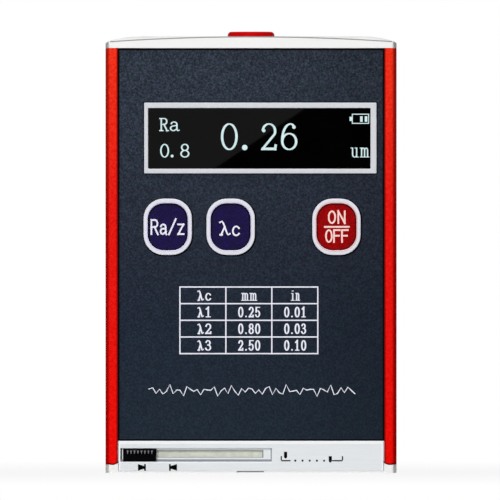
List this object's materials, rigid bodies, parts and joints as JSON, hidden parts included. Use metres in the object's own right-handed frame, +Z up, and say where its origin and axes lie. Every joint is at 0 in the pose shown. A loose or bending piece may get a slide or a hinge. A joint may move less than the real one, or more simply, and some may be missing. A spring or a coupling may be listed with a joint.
{
  "type": "surface roughness tester",
  "caption": "Pocket surface roughness tester: upright case with a display and keys, a start button on top, and a stylus pickup behind a sliding door in its measuring end.",
  "frame": {"origin": "middle of the measuring face, on the bottom of the bounding box", "axes": "+X right across the front, +Y from the front to the back, +Z up along the body from the measuring end to the start button"},
  "size_m": [0.07, 0.024, 0.106],
  "materials": {
    "housing_paint": "satin red coating",
    "cap_plastic": "fine matt white",
    "panel_film": "fine grained dark grey film",
    "fascia_metal": "fine satin silver",
    "frame_plastic": "satin silver",
    "window_glass": "polished black",
    "rim_plastic": "satin pale grey",
    "socket_metal": "tinned",
    "screw_steel": "dark plated",
    "board_laminate": "solder mask",
    "chip_plastic": "moulded",
    "lcd_glass": "glass stack",
    "switch_plastic": "moulded",
    "battery_foil": "foil pouch",
    "pad_foam": "foam tape",
    "frame_metal": "milled",
    "motor_metal": "drawn can",
    "ground_steel": "ground",
    "bush_brass": "turned",
    "button_plastic": "satin red",
    "plunger_plastic": "moulded",
    "key_blue": "satin dark blue",
    "key_red": "satin dark red",
    "door_steel": "plated sheet",
    "knob_plastic": "matt black",
    "carriage_plastic": "moulded",
    "spring_steel": "spring strip",
    "pickup_metal": "dark anodised",
    "skid_stone": "polished ruby or sapphire",
    "piezo": "sintered",
    "tip_metal": "shank with a diamond end"
  },
  "bodies": {
    "case": {"housing": "housing_paint", "top_cap": "cap_plastic", "bottom_cap": "cap_plastic", "front_panel": "panel_film", "fascia": "fascia_metal", "display_bezel": "frame_plastic", "display_window": "window_glass", "parameter_key_bezel": "rim_plastic", "cutoff_key_bezel": "rim_plastic", "power_key_bezel": "rim_plastic", "charging_socket": "socket_metal", "top_cap_screws": "screw_steel", "bottom_cap_screws": "screw_steel", "main_board": "board_laminate", "board_chips": "chip_plastic", "display_panel": "lcd_glass", "display_carrier": "chip_plastic", "key_switches": "switch_plastic", "start_switch": "switch_plastic", "battery": "battery_foil", "battery_pad": "pad_foam", "drive_frame": "frame_metal", "drive_motor": "motor_metal", "guide_rod": "ground_steel", "screw_bush": "bush_brass", "drive_screws": "screw_steel"},
    "start_button": {"start_button": "button_plastic", "start_plunger": "plunger_plastic"},
    "parameter_key": {"parameter_key": "key_blue", "parameter_plunger": "plunger_plastic"},
    "cutoff_key": {"cutoff_key": "key_blue", "cutoff_plunger": "plunger_plastic"},
    "power_key": {"power_key": "key_red", "power_plunger": "plunger_plastic"},
    "door": {"door_plate": "door_steel", "door_knob": "knob_plastic"},
    "drive_screw": {"lead_screw": "ground_steel"},
    "carriage": {"carriage": "carriage_plastic", "drive_nut": "bush_brass", "pivot_pin": "ground_steel", "pickup_spring": "spring_steel"},
    "pickup": {"pickup_body": "pickup_metal", "skid": "skid_stone", "piezo_element": "piezo"},
    "stylus": {"stylus_arm": "frame_metal", "stylus_tip": "tip_metal"}
  },
  "joints": [
    {"name": "start_button_press", "type": "slide", "parent": "case", "child": "start_button", "axis": [0, 0, -1], "range_m": [0, 0.0008], "stiffness_N_per_m": 2500},
    {"name": "parameter_key_press", "type": "slide", "parent": "case", "child": "parameter_key", "axis": [0, 1, 0], "range_m": [0, 0.0004], "stiffness_N_per_m": 3000},
    {"name": "cutoff_key_press", "type": "slide", "parent": "case", "child": "cutoff_key", "axis": [0, 1, 0], "range_m": [0, 0.0004], "stiffness_N_per_m": 3000},
    {"name": "power_key_press", "type": "slide", "parent": "case", "child": "power_key", "axis": [0, 1, 0], "range_m": [0, 0.0004], "stiffness_N_per_m": 3000},
    {"name": "door_slide", "type": "slide", "parent": "case", "child": "door", "axis": [1, 0, 0], "range_m": [0, 0.027]},
    {"name": "screw_spin", "type": "hinge", "parent": "case", "child": "drive_screw", "pos_m": [0, 0.0035, 0.018], "axis": [1, 0, 0], "range_deg": [0, 2160]},
    {"name": "pickup_traverse", "type": "slide", "parent": "case", "child": "carriage", "axis": [1, 0, 0], "range_m": [0, 0.006]},
    {"name": "pickup_lift", "type": "hinge", "parent": "carriage", "child": "pickup", "pos_m": [0.002, 0, 0.01], "axis": [0, -1, 0], "range_deg": [0, 5.96]},
    {"name": "stylus_pivot", "type": "hinge", "parent": "pickup", "child": "stylus", "pos_m": [-0.0082, 0, 0.0083], "axis": [0, -1, 0], "range_deg": [-0.5, 0.5], "stiffness_Nm_per_rad": 0.002}
  ],
  "couplings": [
    {"joint": "screw_spin", "follows": "pickup_traverse", "rad_per_m": 6283.2},
    {"joint": "pickup_lift", "follows": "door_slide", "rad_per_m": 3.8523}
  ]
}
